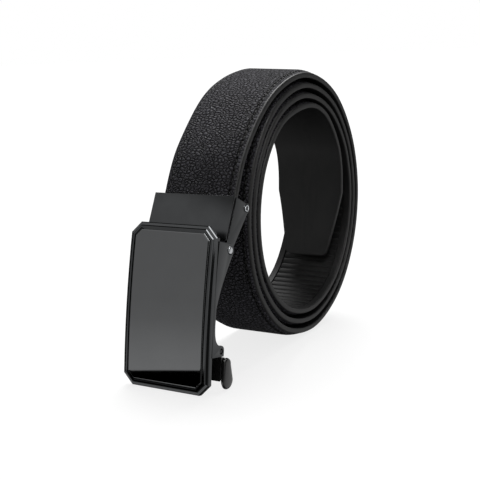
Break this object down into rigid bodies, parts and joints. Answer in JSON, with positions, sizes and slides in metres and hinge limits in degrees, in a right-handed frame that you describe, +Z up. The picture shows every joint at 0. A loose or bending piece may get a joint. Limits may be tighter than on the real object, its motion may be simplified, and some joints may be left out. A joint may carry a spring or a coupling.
{
  "type": "ratchet belt",
  "caption": "Leather ratchet belt in a standing coil, with a clamp, a hinged plate buckle with mirror face, a spring release lever and a ribbed track.",
  "frame": {"origin": "centre of the belt's footprint, on the ground it stands on", "axes": "+X along the strap's width towards the release lever's side, +Y from the buckle to the coil, +Z up"},
  "size_m": [0.0432, 0.147, 0.1192],
  "materials": {
    "pebbled_leather": "pebbled grain, semi-matte, painted edges",
    "track_rubber": "satin, ribbed",
    "gunmetal": "polished dark nickel",
    "bright_pin": "bright",
    "black_mirror": "black mirror polish",
    "black_metal": "gloss black"
  },
  "bodies": {
    "strap_and_clamp": {"strap": "pebbled_leather", "ratchet_track": "track_rubber", "clamp_housing": "gunmetal", "flap_pin": "bright_pin", "hinge_pin": "bright_pin"},
    "flap": {"clamp_flap": "gunmetal"},
    "buckle": {"buckle_frame": "gunmetal", "face_panel": "black_mirror", "lever_pin": "gunmetal"},
    "lever": {"release_lever": "black_metal"}
  },
  "joints": [
    {"name": "buckle_hinge", "type": "hinge", "parent": "strap_and_clamp", "child": "buckle", "pos_m": [-0.0008, -0.05219, 0.053], "axis": [1, 0, 0], "range_deg": [-35, 20]},
    {"name": "flap_hinge", "type": "hinge", "parent": "strap_and_clamp", "child": "flap", "pos_m": [-0.0008, -0.03696, 0.06673], "axis": [1, 0, 0], "range_deg": [0, 45]},
    {"name": "lever_pivot", "type": "hinge", "parent": "buckle", "child": "lever", "pos_m": [-0.0008, -0.0623, 0.01537], "axis": [1, 0, 0], "range_deg": [-14, 0], "stiffness_Nm_per_rad": 0.02, "springref_deg": 14.32}
  ]
}
